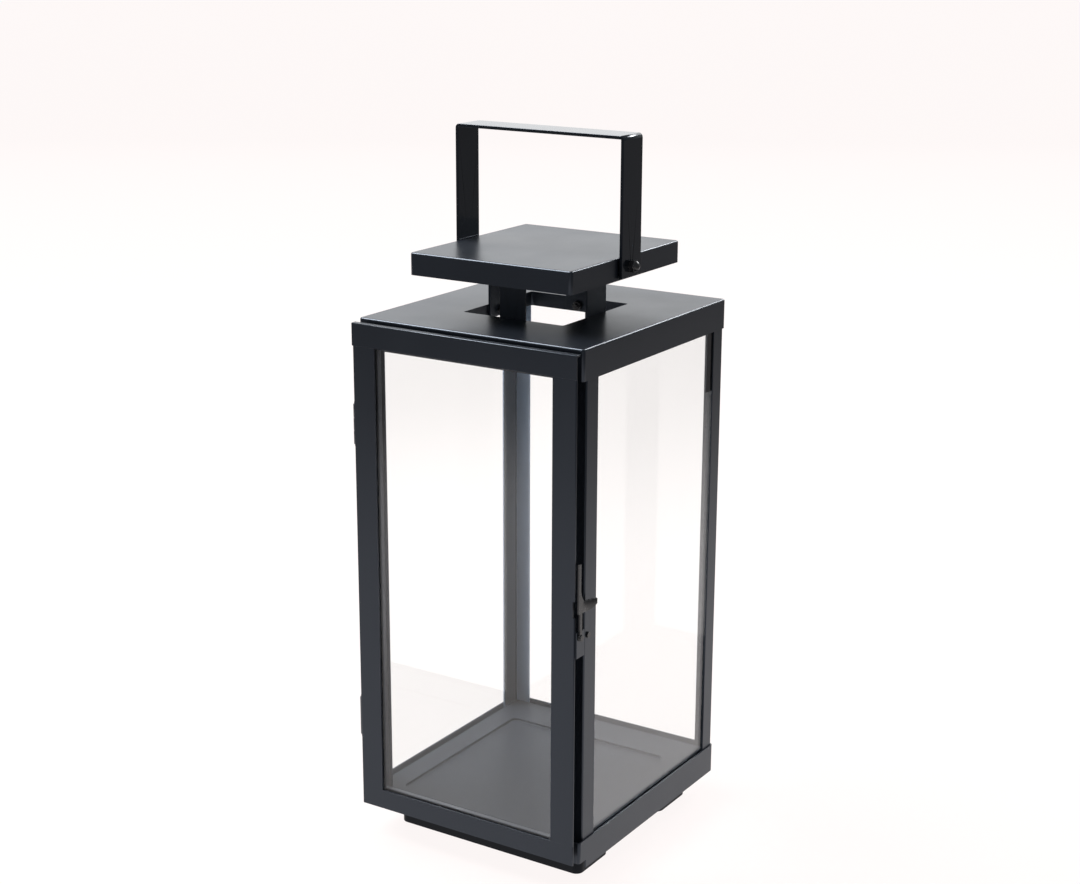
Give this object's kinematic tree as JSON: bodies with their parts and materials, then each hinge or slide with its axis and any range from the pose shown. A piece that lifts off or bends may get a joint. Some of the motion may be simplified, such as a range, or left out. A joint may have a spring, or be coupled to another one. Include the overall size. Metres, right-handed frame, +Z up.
{
  "type": "hurricane candle lantern",
  "caption": "Tall four-sided candle lantern of black sheet steel and clear glass, with a hinged glazed door, side latch, raised vent cap and swinging strip handle.",
  "frame": {"origin": "on the ground under the middle of the overall depth, door included, and the middle of the width", "axes": "+Z up, -Y towards the door (front), +X to the right seen from the door side"},
  "size_m": [0.165, 0.177, 0.443],
  "materials": {
    "black_coating": "satin black powder coat",
    "floor_coating": "satin black powder coat, a little glossier on the raised floor",
    "runner_black": "moulded matt black",
    "dark_hardware": "black-coated screws, nuts, pins and rivets with worn edges",
    "clear_glass": "clear float glass"
  },
  "bodies": {
    "lantern_body": {"base_tray": "black_coating", "floor_panel": "floor_coating", "front_runner": "runner_black", "rear_runner": "runner_black", "front_left_post": "black_coating", "front_right_post": "black_coating", "back_left_post": "black_coating", "back_right_post": "black_coating", "glass_left": "clear_glass", "glass_right": "clear_glass", "glass_back": "clear_glass", "glass_tabs_left": "black_coating", "glass_tabs_right": "black_coating", "glass_tabs_back": "black_coating", "roof": "black_coating", "cap_leg_front": "black_coating", "cap_leg_back": "black_coating", "cap_leg_left": "black_coating", "cap_leg_right": "black_coating", "cap_leg_screws": "dark_hardware", "cap_leg_nuts": "dark_hardware", "cap": "black_coating", "handle_screws": "dark_hardware", "handle_washers": "dark_hardware", "handle_cap_nuts": "dark_hardware", "upper_hinge_body_leaf": "black_coating", "lower_hinge_body_leaf": "black_coating", "upper_hinge_pin": "dark_hardware", "lower_hinge_pin": "dark_hardware", "hinge_rivets": "dark_hardware", "latch_stop": "black_coating"},
    "door": {"door_top_rail": "black_coating", "door_bottom_rail": "black_coating", "door_left_stile": "black_coating", "door_right_stile": "black_coating", "door_inner_frame": "black_coating", "door_glass": "clear_glass", "upper_hinge_door_leaf": "black_coating", "lower_hinge_door_leaf": "black_coating", "latch_plate": "black_coating", "latch_rivet": "dark_hardware"},
    "latch": {"latch_lever": "black_coating"},
    "handle": {"handle": "black_coating"}
  },
  "joints": [
    {"name": "door_hinge", "type": "hinge", "parent": "lantern_body", "child": "door", "pos_m": [-0.079, -0.085, 0.174], "axis": [0, 0, -1], "range_deg": [0, 175]},
    {"name": "latch_turn", "type": "hinge", "parent": "door", "child": "latch", "pos_m": [0.08, -0.0849, 0.165], "axis": [1, 0, 0], "range_deg": [0, 100]},
    {"name": "handle_pivot", "type": "hinge", "parent": "lantern_body", "child": "handle", "pos_m": [0, 0.0035, 0.366], "axis": [1, 0, 0], "range_deg": [-103, 103]}
  ]
}
